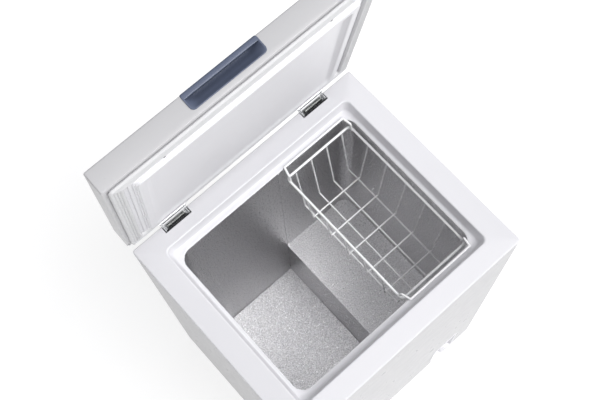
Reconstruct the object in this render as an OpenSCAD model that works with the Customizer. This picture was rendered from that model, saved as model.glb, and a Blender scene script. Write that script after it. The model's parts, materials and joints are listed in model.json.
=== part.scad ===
// Small chest freezer with a lift-up lid, a stepped metal tub and a hanging wire basket.
// Frame: +X to the right seen from the front, +Y to the back, +Z up, millimetres.
// The origin is on the floor, at the middle of the ground that the freezer covers with its lid open.

/* [Cabinet] */
// Width of the cabinet
body_w = 546; // [500:1:700]
// Depth of the cabinet, front face to back face
body_d = 466; // [440:1:560]
// Height of the rim above the floor
rim_z = 800; // [760:1:840]
// Height of the feet
foot_h = 15; // [8:1:30]
// Radius of the upright corners
corner_r = 6; // [4:1:24]
// Thickness of the steel sheets
sheet = 1; // [0.6:0.1:1.5]

/* [Rim] */
// Width of the flat rim, outside edge to the inner wall
rim_flat = 42; // [36:1:50]
// Depth of the ledge below the rim
ledge_drop = 22; // [16:1:30]
// Inward lean of the rim's inner wall
wall_lean = 6; // [2:1:8]

/* [Tub] */
// Width of the tub
tub_w = 426; // [400:1:440]
// Depth of the tub, front to back
tub_d = 344; // [330:1:350]
// Corner radius of the tub
tub_r = 24; // [15:1:35]
// Height of the tub floor above the floor of the room
tub_floor_z = 95; // [80:1:110]
// Place of the step's upright wall, from the middle of the cabinet
step_x = 30; // [0:1:60]
// Height of the step's top above the floor of the room
step_z = 300; // [280:1:330]

/* [Lid] */
// Angle at which the lid stands open
open_angle = 80.3; // [45:0.1:85]
// Height of the closed lid's top above the rim
lid_rise = 50; // [44:1:60]
// Gap between the rim and the closed lid's skirt
skirt_gap = 10; // [8:1:13]
// Width of the folded hem under the skirt
hem_w = 11; // [8:1:14]

/* [Handle] */
// Width of the handle
handle_w = 146; // [120:1:180]
// Height of the handle
handle_h = 32; // [26:1:34]
// Place of the handle's middle, from the middle of the lid
handle_x = -24; // [-60:1:60]

/* [Hinges] */
// Distance of each hinge from the middle of the cabinet
hinge_x = 172; // [140:1:200]
// Width of one hinge over its cheeks
hinge_w = 58; // [50:1:70]
// Radius of the hinge pins
pin_r = 2.5; // [2:0.1:3]

/* [Basket] */
// Width of the basket, wire centre to wire centre
basket_w = 163; // [140:1:166]
// Length of the basket, wire centre to wire centre
basket_l = 322; // [300:1:326]
// Place of the basket's middle, from the middle of the cabinet
basket_x = 125.5; // [-120:0.5:126]
// Depth of the basket floor below the rim
basket_drop = 205; // [150:1:230]
// Diameter of the frame wire
frame_wire = 5; // [4:0.5:5.5]
// Diameter of the mesh wire
mesh_wire = 3.5; // [2.5:0.5:4]

/* [Controls] */
// Place of the control panel's middle, from the middle of the cabinet
panel_x = 169; // [140:1:200]
// Height of the control panel's middle above the floor
panel_z = 108; // [90:1:130]
// Diameter of the thermostat knob
knob_d = 26; // [22:1:40]

/* [Hidden] */
$fn = 64;

// Cabinet frame: the open lid overhangs the back, so the cabinet sits forward of the origin.
mid_y = -22;
front = -body_d / 2;
back = body_d / 2;
side = body_w / 2;
shell_top = rim_z - 6;
ledge_z = rim_z - ledge_drop;
plastic = 3;
// Clearance between fitted parts
fit = 0.05;
base_z = foot_h + 2 * sheet;

// Opening of the rim and the tub
mouth_w = body_w - 2 * (rim_flat + 4);
mouth_d = body_d - 2 * rim_flat;
mouth_r = 12;
liner_top = ledge_z - plastic;

// Compressor bay, under the step
bay_x = step_x + 58;
bay_z = step_z - 62;
comp = [180, 85];
comp_r = 60;
comp_h = 148;
comp_base = 40;
stubs = [[-30, 40, 7], [20, 45, 10]];
stub_top = comp_h - 2;
mount_dx = 62;
mount_dy = 62;

// Tube windings: the evaporator on the tub, the condenser on the outer sheet
evap_d = 8;
evap_off = 6;
evap_pitch = 56;
evap_levels = [for (k = [0:6]) step_z + 48 + k * evap_pitch];
cond_d = 5;
cond_off = 4;
cond_pitch = 60;
cond_levels = [for (k = [0:7]) bay_z + 60 + k * cond_pitch];
tube_gap = 50;
riser = [200, 205];

// Hinge axis: just behind and above the rim's back edge
axis_y = back + 4.5;
axis_z = rim_z + 5;
run = 0.06;
notch_w = hinge_w + 4;
notch_d = 16;
notch_h = 15;
cheek_t = 2;
leaf_t = 2;
spring_at = [-9.6, -9.2];
spring_wire = 2;
spring_r = 3.6;
spring_turns = 22;
guide_w = 52;
guide_y = [-19, -15.2];

// Lid, in its closed place
lid_front = front;
lid_back = back - 2;
lid_d = lid_back - lid_front;
lid_y = (lid_front + lid_back) / 2;
lid_top = rim_z + lid_rise;
skirt_z = rim_z + skirt_gap;
lid_r = 3;
margin_z = rim_z + 7;
hem = [hem_w, hem_w];
liner_screws = [for (s = [-1, 1]) [s * 165, front + 35]];
corner_plugs = [for (s = [-1, 1]) [s * (side - 6), back - 9]];
seal_out = [8, 8];
seal_in = [32, 32];
plug_foot = [39, 38];
plug_edge = [54, 45];
plug_z = rim_z - 4;
dish_edge = [67, 67];
dish_z = rim_z + 5;

// Handle, in the closed lid's front
handle_z = lid_top - handle_h / 2 + 1;
handle_depth = 22;
rail_h = 10;

// Basket
bar_z = ledge_z + frame_wire / 2 + 0.3;
rail_z = rim_z - 43;
floor_z = rim_z - basket_drop;
bar_y = tub_d / 2 + 6;
long_pitch = 40;
cross_pitch = 53.5;
lean_x = 10.3;
lean_y = 17.4;
basket_y = -1.5;
weld_gap = 0.05;
riser_y = basket_l / 2 - 9;

// Controls
panel_w = 76;
panel_h = 122;
panel_floor = front + 10;
knob_z = panel_z - 8;
lamp_z = panel_z + 42;
lamp_pitch = 10;

// Drain: a pocket in the tub floor and an outlet at the front
drain = [-120, -125];
drain_z = 45;
drain_r = 10;
bore_r = 7;
elbow_r = 25;

foot_at = [for (sx = [-1, 1], sy = [-1, 1]) [sx * (side - 40), sy * (back - 40)]];

// ---- Helpers ----

// Everything is drawn around the middle of the cabinet and moved into the part's frame here.
module placed() { translate([0, mid_y, 0]) children(); }

// Turns a closed-lid shape about the hinge axis into the open place.
module opened() {
    translate([0, axis_y, axis_z]) rotate([-open_angle, 0, 0]) translate([0, -axis_y, -axis_z])
        children();
}

// Rectangle with round corners, centred.
module rounded(w, d, r) {
    square([w - 2 * r, d], center = true);
    square([w, d - 2 * r], center = true);
    for (sx = [-1, 1], sy = [-1, 1])
        translate([sx * (w / 2 - r), sy * (d / 2 - r)]) circle(r);
}

// Upright prism on a rounded rectangle, from z0 to z1.
module slab(w, d, r, z0, z1) { translate([0, 0, z0]) linear_extrude(z1 - z0) rounded(w, d, r); }

// Block between two corners.
module block(a, b) { translate(a) cube(b - a); }

// Straight round bar between two points.
module bar(a, b, d) {
    v = b - a;
    len = norm(v);
    translate(a) rotate([0, atan2(norm([v.x, v.y]), v.z), atan2(v.y, v.x)]) cylinder(d = d, h = len);
}

// Round bar along +Y, from y0 to y1.
module rod_y(x, z, y0, y1, r) {
    translate([x, y1, z]) rotate([90, 0, 0]) cylinder(r = r, h = y1 - y0);
}

// Round bar along +X, from x0 to x1.
module rod_x(y, z, x0, x1, r) {
    translate([x0, y, z]) rotate([0, 90, 0]) cylinder(r = r, h = x1 - x0);
}

// Part of a ring of round tube in the XY plane, bend radius r, from angle a0 through angle a.
module bend(r, d, a0, a) {
    rotate([0, 0, a0]) rotate_extrude(angle = a) translate([r, 0]) circle(d = d);
}

// Wire or tube along a list of points, with a ball at each inner point.
module path(points, d) {
    for (i = [0:len(points) - 2]) bar(points[i], points[i + 1], d);
    for (i = [1:len(points) - 2]) {
        v = points[i + 1] - points[i - 1];
        translate(points[i]) rotate([0, 0, atan2(v.y, v.x)]) sphere(d = d + 0.3);
    }
}

// Domed screw along -Z: the head's flat underside is at z = 0.
module screw(head_r, head_h, shank_r, shank_l) {
    cylinder(r1 = head_r, r2 = head_r * 0.7, h = head_h);
    translate([0, 0, -shank_l]) cylinder(r = shank_r, h = shank_l + 0.5);
}

// ---- Cabinet ----

module sheet_ring() {
    difference() {
        rounded(body_w, body_d, corner_r);
        rounded(body_w - 2 * sheet, body_d - 2 * sheet, corner_r - sheet);
    }
}

module hinge_notches(z0) {
    for (s = [-1, 1])
        block([s * hinge_x - notch_w / 2, back - notch_d, z0],
              [s * hinge_x + notch_w / 2, back + 5, rim_z + 1]);
}

grille_y = [-70, 120];
grille_z = [60, 190];

module cabinet_shell() {
    color([0.93, 0.92, 0.94]) placed() difference() {
        translate([0, 0, foot_h]) linear_extrude(shell_top - foot_h) intersection() {
            sheet_ring();
            translate([-side, front]) square([body_w, body_d - corner_r - 2]);
        }
        block([panel_x - panel_w / 2 + 2, front - 1, panel_z - panel_h / 2 + 2],
              [panel_x + panel_w / 2 - 2, front + 2, panel_z + panel_h / 2 - 2]);
        block([side - 2, grille_y[0], grille_z[0]], [side + 1, grille_y[1], grille_z[1]]);
        rod_y(drain.x, drain_z, front - 1, front + 2, drain_r + fit);
    }
}

cover_x = [bay_x + 10, side - 14];
cover_z = [foot_h + 10, bay_z - 8];
cover_screws = [for (x = [cover_x[0] + 6, cover_x[1] - 6], z = [cover_z[0] + 8, cover_z[1] - 8]) [x, z]];

module rear_panel() {
    color([0.90, 0.90, 0.92]) placed() difference() {
        translate([0, 0, foot_h]) linear_extrude(shell_top - foot_h) intersection() {
            sheet_ring();
            translate([-side, back - corner_r - 2]) square([body_w, corner_r + 2]);
        }
        block([cover_x[0] + 12, back - 2, cover_z[0] + 14], [cover_x[1] - 12, back + 1, cover_z[1] - 14]);
        for (p = cover_screws) rod_y(p.x, p.y, back - 2, back + 1, 1.6);
        hinge_notches(rim_z - notch_h);
        for (p = base_screws) rod_y(p.x, p.y, back - 2, back + 1, 1.8);
    }
}

module base_plate() {
    color([0.72, 0.73, 0.74]) placed() difference() {
        slab(body_w - 2 * sheet, body_d - 2 * sheet, corner_r - sheet, foot_h, base_z);
        for (p = foot_at) translate([p.x, p.y, foot_h - 1]) cylinder(r = 2.5, h = 5);
        for (sx = [-1, 1], sy = [-1, 1])
            translate([comp.x + sx * mount_dx, comp.y + sy * mount_dy, foot_h - 1])
                cylinder(r = 3 + fit, h = 5);
        for (k = [0:5])
            block([bay_x + 30 + k * 22, -150, foot_h - 1], [bay_x + 38 + k * 22, -60, base_z + 1]);
    }
}

// Folded sheet that walls the compressor bay off from the foam.
module compressor_bay_panel() {
    color([0.75, 0.76, 0.78]) placed() difference() {
        intersection() {
            block([bay_x, front + sheet, base_z], [side - sheet, back - sheet, bay_z + sheet]);
            slab(body_w - 2 * sheet, body_d - 2 * sheet, corner_r - sheet, base_z, bay_z + sheet);
        }
        block([bay_x + sheet, front, base_z - 1], [side, back, bay_z]);
        translate([riser.x, riser.y, bay_z - 1]) cylinder(r = 6, h = 4);
        translate([riser.x + 22, riser.y, bay_z - 1]) cylinder(r = 3, h = 4);
        translate([riser.x - 60, riser.y + 8, bay_z - 1]) cylinder(r = 4, h = 4);
        rod_x(0, bay_z - 40, bay_x - 1, bay_x + 3, 3);
    }
}

module groove(w, d, r, inset, z, h) {
    translate([0, 0, z - h / 2]) linear_extrude(h) difference() {
        rounded(w, d, r);
        rounded(w - 2 * inset, d - 2 * inset, max(r - inset, 10));
    }
}

module cabinet_foam() {
    evap_cut = evap_off + evap_d / 2 + 1;
    cond_cut = cond_off + cond_d / 2 + 1;
    wall_w = tub_w + 2 * sheet;
    wall_d = tub_d + 2 * sheet;
    color([0.96, 0.90, 0.66]) placed() difference() {
        slab(body_w - 2 * sheet, body_d - 2 * sheet, corner_r - sheet, base_z, liner_top - 2);
        tub_solid(sheet);
        block([bay_x, front, foot_h], [side, back, bay_z + sheet]);
        for (z = evap_levels)
            groove(wall_w + 2 * evap_cut, wall_d + 2 * evap_cut, tub_r + evap_cut,
                   evap_cut + 1, z, evap_d + 2);
        block([-tube_gap - 40, -wall_d / 2 - evap_cut, evap_levels[0] - 5],
              [tube_gap + 40, -wall_d / 2 + 1, evap_levels[len(evap_levels) - 1] + 5]);
        for (z = cond_levels)
            groove(body_w - 2 * sheet, body_d - 2 * sheet, corner_r - sheet, cond_cut, z, cond_d + 2);
        block([-tube_gap - 40, back - sheet - cond_cut, cond_levels[0] - 5],
              [tube_gap + 40, back, cond_levels[len(cond_levels) - 1] + 5]);
        translate([riser.x, riser.y, bay_z - 1]) cylinder(r = 6, h = evap_levels[0] - bay_z + 8);
        translate([riser.x + 22, riser.y, bay_z - 1]) cylinder(r = 3, h = evap_levels[0] - bay_z + 8);
        block([riser.x - 10, back - 70, evap_levels[0] - 6],
              [riser.x + 30, riser.y + 7, evap_levels[0] + 7]);
        translate([riser.x - 60, riser.y + 8, bay_z - 1]) cylinder(r = 4, h = cond_levels[0] - bay_z + 6);
        block([riser.x - 66, riser.y + 4, cond_levels[0] - 5], [riser.x - 54, back, cond_levels[0] + 5]);
        rod_x(0, bay_z - 40, step_x, bay_x + 1, 4);
        for (p = base_screws) rod_y(p.x, p.y, back - 5, back, 1.8);
        drain_run(drain_r);
        block([drain.x - 22, drain.y - 22, tub_floor_z - 8], [drain.x + 22, drain.y + 22, tub_floor_z]);
    }
}

// ---- Tub ----

// Solid of the tub's inside, grown by t on its walls and floor.
module tub_solid(t) {
    difference() {
        slab(tub_w + 2 * t, tub_d + 2 * t, tub_r + t, tub_floor_z - t, liner_top);
        block([step_x + t, front, tub_floor_z - 5], [side, back, step_z - t]);
    }
}

// Wrapped sheet: the tub's four walls, with a flange around the top.
module tub_walls() {
    color([0.72, 0.72, 0.74]) placed() difference() {
        union() {
            slab(tub_w + 2 * sheet, tub_d + 2 * sheet, tub_r + sheet, tub_floor_z - sheet, liner_top);
            slab(tub_w + 16, tub_d + 16, tub_r + 8, liner_top - sheet, liner_top);
        }
        slab(tub_w, tub_d, tub_r, tub_floor_z - 5, liner_top + 1);
        block([step_x + sheet, front, tub_floor_z - 5], [side, back, step_z - sheet]);
    }
}

// Folded sheet inside the walls: the deep floor, the step's wall and the step's top.
module tub_base() {
    color([0.68, 0.68, 0.70]) placed() difference() {
        intersection() {
            slab(tub_w - 2 * fit, tub_d - 2 * fit, tub_r - fit, tub_floor_z - sheet, step_z);
            union() {
                block([-side, front, tub_floor_z - sheet], [step_x + sheet, back, tub_floor_z]);
                block([step_x, front, tub_floor_z - sheet], [step_x + sheet, back, step_z]);
                block([step_x, front, step_z - sheet], [side, back, step_z]);
            }
        }
        translate([drain.x, drain.y, tub_floor_z - 3]) cylinder(r = drain_r + fit, h = 6);
    }
}

// Walls of the pockets that take the hinges.
module hinge_pockets() {
    for (s = [-1, 1])
        block([s * hinge_x - notch_w / 2 - 2, back - notch_d - 2, rim_z - notch_h - 2],
              [s * hinge_x + notch_w / 2 + 2, back - 1.5, rim_z - 1]);
}

module rim_collar() {
    inner = [mouth_w + 2 * plastic, mouth_d + 2 * plastic, mouth_r + plastic];
    color([0.93, 0.92, 0.94]) placed() difference() {
        union() {
            difference() {
                slab(body_w, body_d, corner_r, shell_top, rim_z);
                slab(body_w - 4, body_d - 4, corner_r - 2, shell_top - 1, rim_z - plastic);
            }
            slab(inner[0], inner[1], inner[2], liner_top, rim_z - 1);
            hinge_pockets();
        }
        hull() {
            slab(mouth_w, mouth_d, mouth_r, rim_z, rim_z + 1, $fn = 32);
            slab(mouth_w - 2 * wall_lean, mouth_d - 2 * wall_lean, mouth_r,
                 ledge_z, ledge_z + 0.1, $fn = 32);
        }
        slab(tub_w, tub_d, tub_r, liner_top - 1, ledge_z + 1);
        hinge_notches(rim_z - notch_h);
    }
}

// ---- Refrigeration ----

// One level of tube around a rectangle, open at the middle of one long side (front: s = -1).
module level(w, d, r, z, tube, s) {
    translate([0, 0, z]) {
        for (k = [-1, 1]) {
            rod_y(k * w / 2, 0, -d / 2 + r, d / 2 - r, tube / 2);
            rod_x(s * d / 2, 0, k < 0 ? -w / 2 + r : tube_gap, k < 0 ? -tube_gap : w / 2 - r, tube / 2);
        }
        rod_x(-s * d / 2, 0, -w / 2 + r, w / 2 - r, tube / 2);
        for (c = [[1, 1, 0], [-1, 1, 90], [-1, -1, 180], [1, -1, 270]])
            translate([c.x * (w / 2 - r), c.y * (d / 2 - r), 0]) bend(r, tube, c.z, 90);
    }
}

// Levels joined by upright return bends, first on one side of the gap and then on the other.
module winding(w, d, r, levels, pitch, tube, s) {
    for (z = levels) level(w, d, r, z, tube, s);
    for (i = [0:len(levels) - 2]) {
        k = i % 2 == 0 ? -1 : 1;
        translate([k * tube_gap, s * d / 2, levels[i] + pitch / 2]) rotate([90, 0, 0])
            bend(pitch / 2, tube, k < 0 ? -90 : 90, 180);
    }
}

module evaporator_coil() {
    off = sheet + evap_off;
    color([0.80, 0.55, 0.38]) placed()
        winding(tub_w + 2 * off, tub_d + 2 * off, tub_r + off, evap_levels, evap_pitch, evap_d, -1);
}

module condenser_coil() {
    off = sheet + cond_off;
    color([0.35, 0.33, 0.32]) placed()
        winding(body_w - 2 * off, body_d - 2 * off, corner_r - off + 4, cond_levels, cond_pitch, cond_d, 1);
}

module compressor() {
    color([0.12, 0.12, 0.13]) placed() translate([comp.x, comp.y, comp_base]) {
        rotate_extrude() intersection() {
            translate([0, comp_h / 2]) rounded(2 * comp_r, comp_h, 34);
            square([comp_r, comp_h]);
        }
        translate([0, 0, comp_h * 0.52]) cylinder(r = comp_r + 3, h = 4);
        for (p = stubs) translate([p.x, p.y, comp_h - 30]) cylinder(d = p.z, h = stub_top - comp_h + 30);
    }
}

module compressor_bracket() {
    color([0.15, 0.15, 0.16]) placed() difference() {
        translate([comp.x, comp.y, comp_base - 6]) {
            linear_extrude(3) rounded(2 * mount_dx + 30, 2 * mount_dy + 30, 14);
            cylinder(r = 34, h = 6);
        }
        for (sx = [-1, 1], sy = [-1, 1])
            translate([comp.x + sx * mount_dx, comp.y + sy * mount_dy, 0]) cylinder(r = 8, h = comp_base);
    }
}

module at_mounts() {
    for (sx = [-1, 1], sy = [-1, 1])
        translate([comp.x + sx * mount_dx, comp.y + sy * mount_dy, base_z]) children();
}

module compressor_grommets() {
    h = comp_base - 6 - base_z;
    color([0.10, 0.10, 0.10]) placed() at_mounts() rotate_extrude() difference() {
        union() {
            square([11, h]);
            square([8 - fit, h + 3]);
            translate([0, h + 3]) square([11, 4]);
        }
        square([4, h + 8]);
    }
}

module compressor_bolts() {
    h = comp_base - 6 - base_z + 7;
    color([0.75, 0.76, 0.78]) placed() at_mounts() {
        translate([0, 0, -2 * sheet]) cylinder(r = 3, h = h + 6 + 2 * sheet);
        translate([0, 0, h]) cylinder(r = 7, h = 1);
        translate([0, 0, h + 1]) cylinder(r = 5.5, h = 4, $fn = 6);
    }
}

module relay_box() {
    color([0.13, 0.13, 0.14]) placed() difference() {
        translate([comp.x, comp.y - comp_r - 12, comp_base + 62]) rotate([90, 0, 0])
            linear_extrude(36, center = true) rounded(62, 66, 8);
        translate([comp.x, comp.y, comp_base]) cylinder(r = comp_r + 3.5, h = comp_h);
    }
}

drier = [bay_x + 22, -40];

module filter_drier() {
    color([0.80, 0.50, 0.33]) placed() translate([drier.x, drier.y, 90]) rotate_extrude() union() {
        square([10, 70]);
        translate([0, -6]) square([6, 82]);
        translate([0, -10]) square([3.4, 90]);
    }
}

// Hot line: compressor to the foot of the condenser.
module discharge_tube() {
    x = riser.x - 60;
    color([0.80, 0.50, 0.33]) placed() path([
        [comp.x + stubs[0].x, comp.y + stubs[0].y, comp_base + stub_top],
        [comp.x + stubs[0].x, comp.y + stubs[0].y, bay_z - 20],
        [x, riser.y + 8, bay_z - 20], [x, riser.y + 8, cond_levels[0] + 3]
    ], 5);
}

// Cold return line: evaporator to the compressor.
module suction_tube() {
    color([0.82, 0.56, 0.40]) placed() path([
        [comp.x + stubs[1].x, comp.y + stubs[1].y, comp_base + stub_top],
        [comp.x + stubs[1].x, comp.y + stubs[1].y, bay_z - 30],
        [riser.x, riser.y, bay_z - 30], [riser.x, riser.y, evap_levels[0]],
        [riser.x, tub_d / 2 + sheet + evap_off + evap_d / 2 + 0.5, evap_levels[0]]
    ], 8);
}

module capillary_tube() {
    top = bay_z - 12;
    x = riser.x + 22;
    color([0.82, 0.56, 0.40]) placed() path([
        [drier.x, drier.y, 170], [drier.x, drier.y, top], [x, riser.y, top], [x, riser.y, evap_levels[0]],
        [x, tub_d / 2 + sheet + evap_off + evap_d / 2 + 0.5, evap_levels[0]]
    ], 2.4);
}

// ---- Controls ----

module thermostat() {
    color([0.70, 0.70, 0.68]) placed() difference() {
        union() {
            block([panel_x - 17, panel_floor + 2, knob_z - 15],
                  [panel_x + 17, panel_floor + 36, knob_z + 15]);
            rod_y(panel_x, knob_z, panel_floor - 4, panel_floor + 3, 5);
        }
        rod_y(panel_x, knob_z, panel_floor - 5, panel_floor + 24, 3 + run);
    }
}

// Feeler that runs from the thermostat to a pocket beside the step's wall.
module sensor_bulb() {
    color([0.80, 0.80, 0.80]) placed() {
        path([
            [panel_x, panel_floor + 36, knob_z], [panel_x, panel_floor + 60, knob_z],
            [bay_x + 14, -60, bay_z - 60], [bay_x + 14, 0, bay_z - 40], [step_x + 12, 0, bay_z - 40]
        ], 2.4);
        rod_x(0, bay_z - 40, step_x + 4, step_x + 34, 3);
    }
}

module control_panel() {
    color([0.90, 0.90, 0.92]) placed() translate([panel_x, 0, panel_z]) difference() {
        union() {
            translate([0, front, 0]) rotate([90, 0, 0])
                linear_extrude(1.2) rounded(panel_w + 4, panel_h + 4, 9);
            translate([0, panel_floor + 2, 0]) rotate([90, 0, 0])
                linear_extrude(12) rounded(panel_w - 4, panel_h - 4, 4);
        }
        translate([0, panel_floor, 0]) rotate([90, 0, 0])
            linear_extrude(20) rounded(panel_w - 8, panel_h - 8, 3);
        rod_y(0, knob_z - panel_z, front, panel_floor + 3, 5.1);
        for (k = [-1:1]) rod_y(k * lamp_pitch, lamp_z - panel_z, front, panel_floor + 3, 2.6);
    }
}

module lamp(k) {
    placed() translate([panel_x + k * lamp_pitch, 0, lamp_z]) {
        rod_y(0, 0, panel_floor - 1, panel_floor + 8, 2.5);
        translate([0, panel_floor - 1, 0]) sphere(2.4);
        rod_y(0, 0, panel_floor + 2, panel_floor + 4, 3.6);
    }
}

module power_lamp() { color([0.25, 0.75, 0.35]) lamp(-1); }
module run_lamp() { color([0.90, 0.70, 0.20]) lamp(0); }
module alarm_lamp() { color([0.80, 0.20, 0.15]) lamp(1); }

module thermostat_knob() {
    color([0.90, 0.90, 0.92]) placed() translate([panel_x, panel_floor - 1, knob_z]) rotate([90, 0, 0])
        difference() {
            union() {
                cylinder(d = knob_d, h = 5);
                cylinder(d1 = knob_d - 3, d2 = knob_d - 6, h = 12);
                translate([-2, -knob_d / 2 + 3, 11]) cube([4, knob_d - 6, 3]);
            }
            translate([0, 0, -1]) cylinder(r = 5.4, h = 5);
            translate([0, 0, -1]) cylinder(r = 3, h = 10);
            for (k = [0:23]) rotate([0, 0, 15 * k]) translate([knob_d / 2, 0, -1]) cylinder(r = 0.8, h = 7);
        }
}

module thermostat_shaft() {
    color([0.75, 0.75, 0.73]) placed() rod_y(panel_x, knob_z, panel_floor - 10, panel_floor + 22, 3);
}

// ---- Back and base ----

module side_grille() {
    y0 = grille_y[0] + 0.5;
    y1 = grille_y[1] - 0.5;
    z0 = grille_z[0] + 0.5;
    z1 = grille_z[1] - 0.5;
    slots = 9;
    pitch = (z1 - z0 - 12) / slots;
    color([0.88, 0.88, 0.90]) placed() difference() {
        block([side - 4, y0, z0], [side, y1, z1]);
        for (k = [0:slots - 1])
            block([side - 5, y0 + 8, z0 + 8 + k * pitch],
                  [side + 1, y1 - 8, z0 + 8 + k * pitch + pitch * 0.55]);
    }
}

module rear_cover() {
    slots = 10;
    pitch = (cover_z[1] - cover_z[0] - 80) / slots;
    color([0.80, 0.80, 0.82]) placed() difference() {
        block([cover_x[0], back, cover_z[0]], [cover_x[1], back + 1.5, cover_z[1]]);
        for (k = [0:slots - 1], s = [0, 1])
            block([cover_x[0] + 22 + s * 66, back - 1, cover_z[0] + 60 + k * pitch],
                  [cover_x[0] + 74 + s * 66, back + 3, cover_z[0] + 60 + k * pitch + 5]);
        for (p = cover_screws) rod_y(p.x, p.y, back - 1, back + 3, 1.8);
        rod_y(cover_x[0] + 30, cover_z[0] + 30, back - 1, back + 3, 8);
    }
}

module rear_cover_screws() {
    color([0.75, 0.76, 0.78]) placed() for (p = cover_screws)
        translate([p.x, back + 1.5, p.y]) rotate([-90, 0, 0]) screw(3.6, 2, 1.5, 7);
}

// Cord inlet: a snap-in bush with a clear bore.
module cord_gland() {
    color([0.12, 0.12, 0.12]) placed() translate([cover_x[0] + 30, back, cover_z[0] + 30])
        rotate([-90, 0, 0]) rotate_extrude() union() {
            translate([4, -4]) square([4 - fit, 9]);
            translate([4, 1.5]) square([7, 2.5]);
            translate([4, -4]) square([6, 2.5]);
        }
}

// Two runs: cord inlet to relay box, and relay box to thermostat.
module wiring_harness() {
    inlet = [cover_x[0] + 30, cover_z[0] + 30];
    relay_y = comp.y - comp_r - 30;
    low_z = base_z + 41;
    color([0.25, 0.25, 0.27]) placed() {
        path([
            [inlet.x, back - 6, inlet.y],
            [inlet.x, back - 28, inlet.y],
            [bay_x + 14, back - 60, low_z],
            [bay_x + 14, relay_y - 9, low_z],
            [comp.x - 15, relay_y - 9, 80],
            [comp.x - 15, relay_y, 80]
        ], 6);
        path([
            [comp.x + 15, relay_y, 80],
            [comp.x + 15, relay_y - 15, 80],
            [panel_x + 10, panel_floor + 54, knob_z - 9],
            [panel_x + 10, panel_floor + 36, knob_z - 9]
        ], 5);
    }
}

// Drop from the tub floor, an elbow, and a straight run out through the front face.
module drain_run(r) {
    translate([drain.x, drain.y, drain_z + elbow_r])
        cylinder(r = r, h = tub_floor_z + 1 - drain_z - elbow_r);
    translate([drain.x, drain.y - elbow_r, drain_z + elbow_r]) rotate([0, 90, 0])
        bend(elbow_r, 2 * r, 0, 90);
    rod_y(drain.x, drain_z, front - 6, drain.y - elbow_r, r);
}

module drain_tube() {
    color([0.85, 0.85, 0.87]) placed() difference() {
        union() {
            drain_run(drain_r);
            translate([drain.x, drain.y, tub_floor_z]) cylinder(r = 15, h = 1.5);
        }
        drain_run(bore_r);
        translate([drain.x, drain.y, tub_floor_z - 1]) cylinder(r = bore_r, h = 5);
        rod_y(drain.x, drain_z, front - 8, front - 5, bore_r);
    }
}

module drain_plug() {
    color([0.45, 0.50, 0.58]) placed() translate([drain.x, drain.y, tub_floor_z + 1.8]) {
        cylinder(r = 12, h = 2.5);
        translate([0, 0, -14]) cylinder(r1 = 6, r2 = 6.7, h = 15);
        translate([-7, -1.5, 2]) cube([14, 3, 8]);
    }
}

module drain_cap() {
    color([0.90, 0.90, 0.92]) placed() translate([drain.x, front - 0.3, drain_z]) rotate([90, 0, 0])
        difference() {
            cylinder(r = 14, h = 9);
            translate([0, 0, -1]) cylinder(r = drain_r + 0.3, h = 7.5);
            for (k = [0:17]) rotate([0, 0, 20 * k]) translate([14.4, 0, -1]) cylinder(r = 1, h = 11);
        }
}

module feet() {
    color([0.15, 0.15, 0.16]) placed() for (p = foot_at) translate([p.x, p.y, 0]) difference() {
        rotate_extrude() polygon([[0, 0], [15, 0], [16, 1], [20, foot_h], [0, foot_h]]);
        translate([0, 0, -1]) cylinder(r = 7, h = foot_h - 4);
        cylinder(r = 2.5, h = foot_h + 1);
    }
}

module feet_screws() {
    color([0.75, 0.76, 0.78]) placed() for (p = foot_at)
        translate([p.x, p.y, foot_h - 5]) rotate([180, 0, 0]) screw(5, 2.5, 2.4, 5 + 2 * sheet);
}

// ---- Hinges, drawn around the pin's axis ----

base_screws = [for (s = [-1, 1], x = [-18, 18], z = [30, 58]) [s * hinge_x + x, axis_z - z]];

module at_hinge(s) { placed() translate([s * hinge_x, axis_y, axis_z]) children(); }

module hinge_base(s) {
    face = back - axis_y;
    inner = hinge_w / 2 - cheek_t;
    color([0.80, 0.81, 0.82]) at_hinge(s) difference() {
        union() {
            block([-hinge_w / 2, face, -70], [hinge_w / 2, face + 2, -14]);
            block([-hinge_w / 2, face - 13, -16], [hinge_w / 2, face + 2, -14]);
            for (x = [-hinge_w / 2, inner])
                translate([x, 0, 0]) rotate([90, 0, 90]) linear_extrude(cheek_t) {
                    circle(6);
                    polygon([
                        [face - 13, -16], [face + 2, -16], [5.6, -2.2],
                        [-3.6, 4.8], [face - 3, -5], [face - 13, -6]
                    ]);
                }
        }
        rod_x(0, 0, -hinge_w, hinge_w, pin_r + 0.02);
        for (x = [-18, 18], z = [30, 58]) rod_y(x, -z, face - 1, face + 3, 1.8);
    }
}

module hinge_base_left() { hinge_base(-1); }
module hinge_base_right() { hinge_base(1); }

module hinge_arm(s) {
    skin = lid_back - axis_y;
    half = hinge_w / 2 - cheek_t - 1;
    color([0.84, 0.85, 0.86]) at_hinge(s) rotate([-open_angle, 0, 0]) difference() {
        union() {
            block([-half, skin, 2], [half, skin + leaf_t, 38]);
            block([-half, skin, 2], [half, 0, 4.5]);
            rod_x(0, 0, -half, half, 4.5);
        }
        rod_x(0, 0, -hinge_w, hinge_w, pin_r + run);
        for (x = [-18, 18], z = [14, 30]) rod_y(x, z, skin - 1, skin + 4, 1.6);
    }
}

module hinge_arm_left() { hinge_arm(-1); }
module hinge_arm_right() { hinge_arm(1); }

module hinge_pin(s) {
    half = hinge_w / 2;
    color([0.70, 0.70, 0.72]) at_hinge(s) {
        rod_x(0, 0, -half - 1, half + 1, pin_r);
        for (x = [-half - 2, half + 0.5]) rod_x(0, 0, x, x + 1.5, 4);
    }
}

module hinge_pin_left() { hinge_pin(-1); }
module hinge_pin_right() { hinge_pin(1); }

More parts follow.
